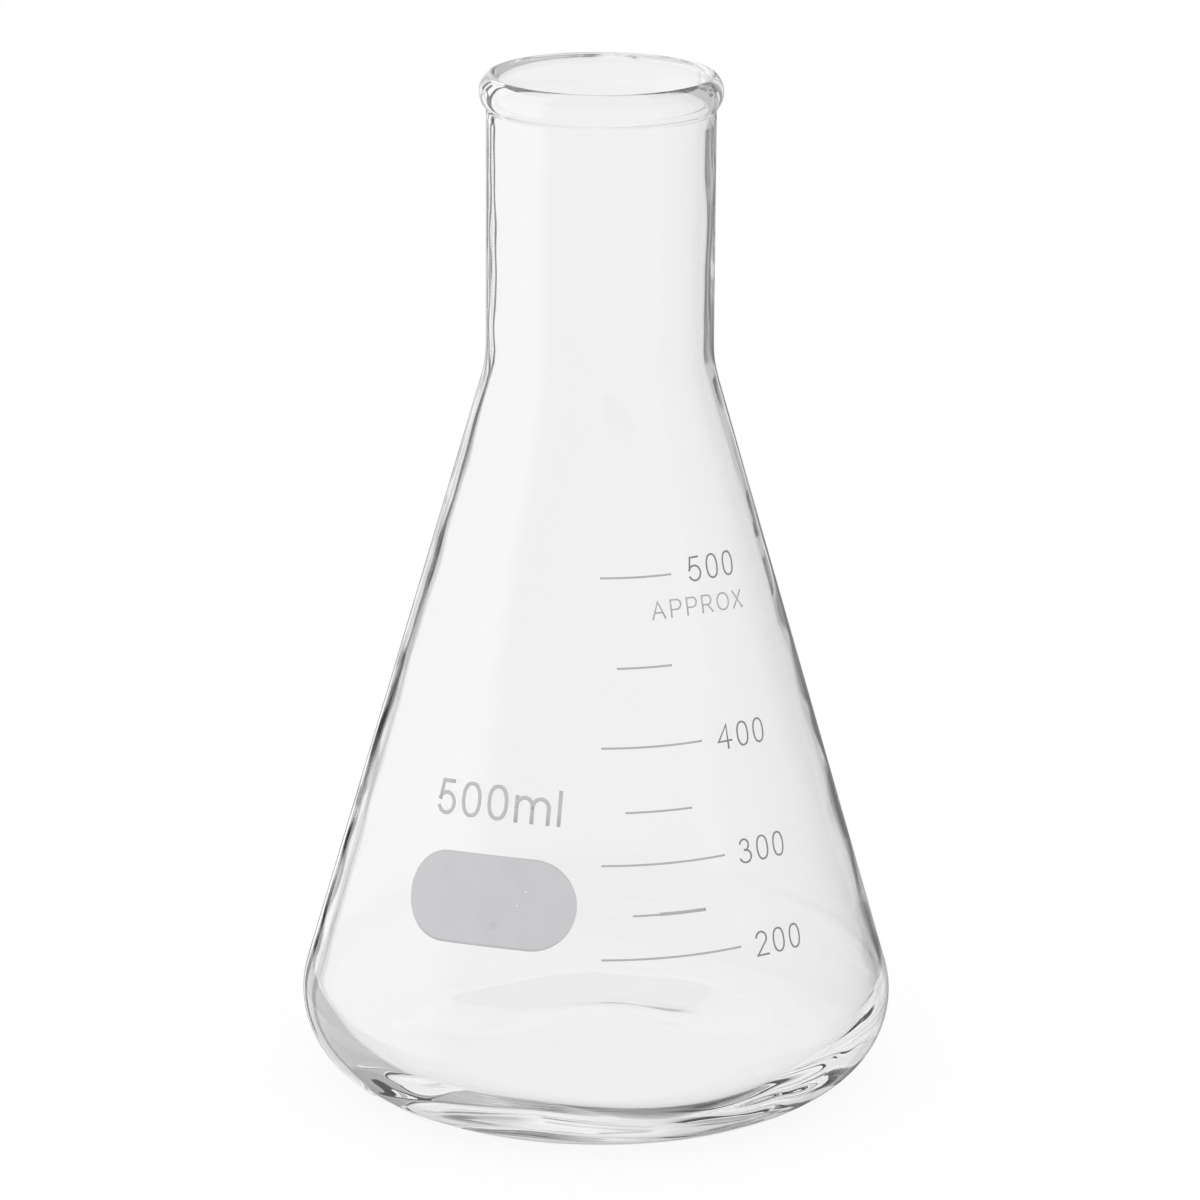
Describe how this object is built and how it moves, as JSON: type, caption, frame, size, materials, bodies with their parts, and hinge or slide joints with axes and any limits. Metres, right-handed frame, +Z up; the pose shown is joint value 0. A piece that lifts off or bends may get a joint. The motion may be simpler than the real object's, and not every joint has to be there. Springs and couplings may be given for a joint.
{
  "type": "erlenmeyer flask",
  "caption": "Clear glass conical laboratory flask with a straight beaded neck, an enamel scale and a spot to write on.",
  "frame": {"origin": "centre of the foot ring, on the surface that the flask stands on", "axes": "+Z up along the axis of the flask, out of the mouth; the print faces -Y, with its scale to the +X side"},
  "size_m": [0.105, 0.105, 0.18],
  "materials": {
    "glass": "polished",
    "enamel": "satin"
  },
  "bodies": {
    "root": {"flask": "glass", "graduation_lines": "enamel", "marking_spot": "enamel"}
  },
  "joints": []
}
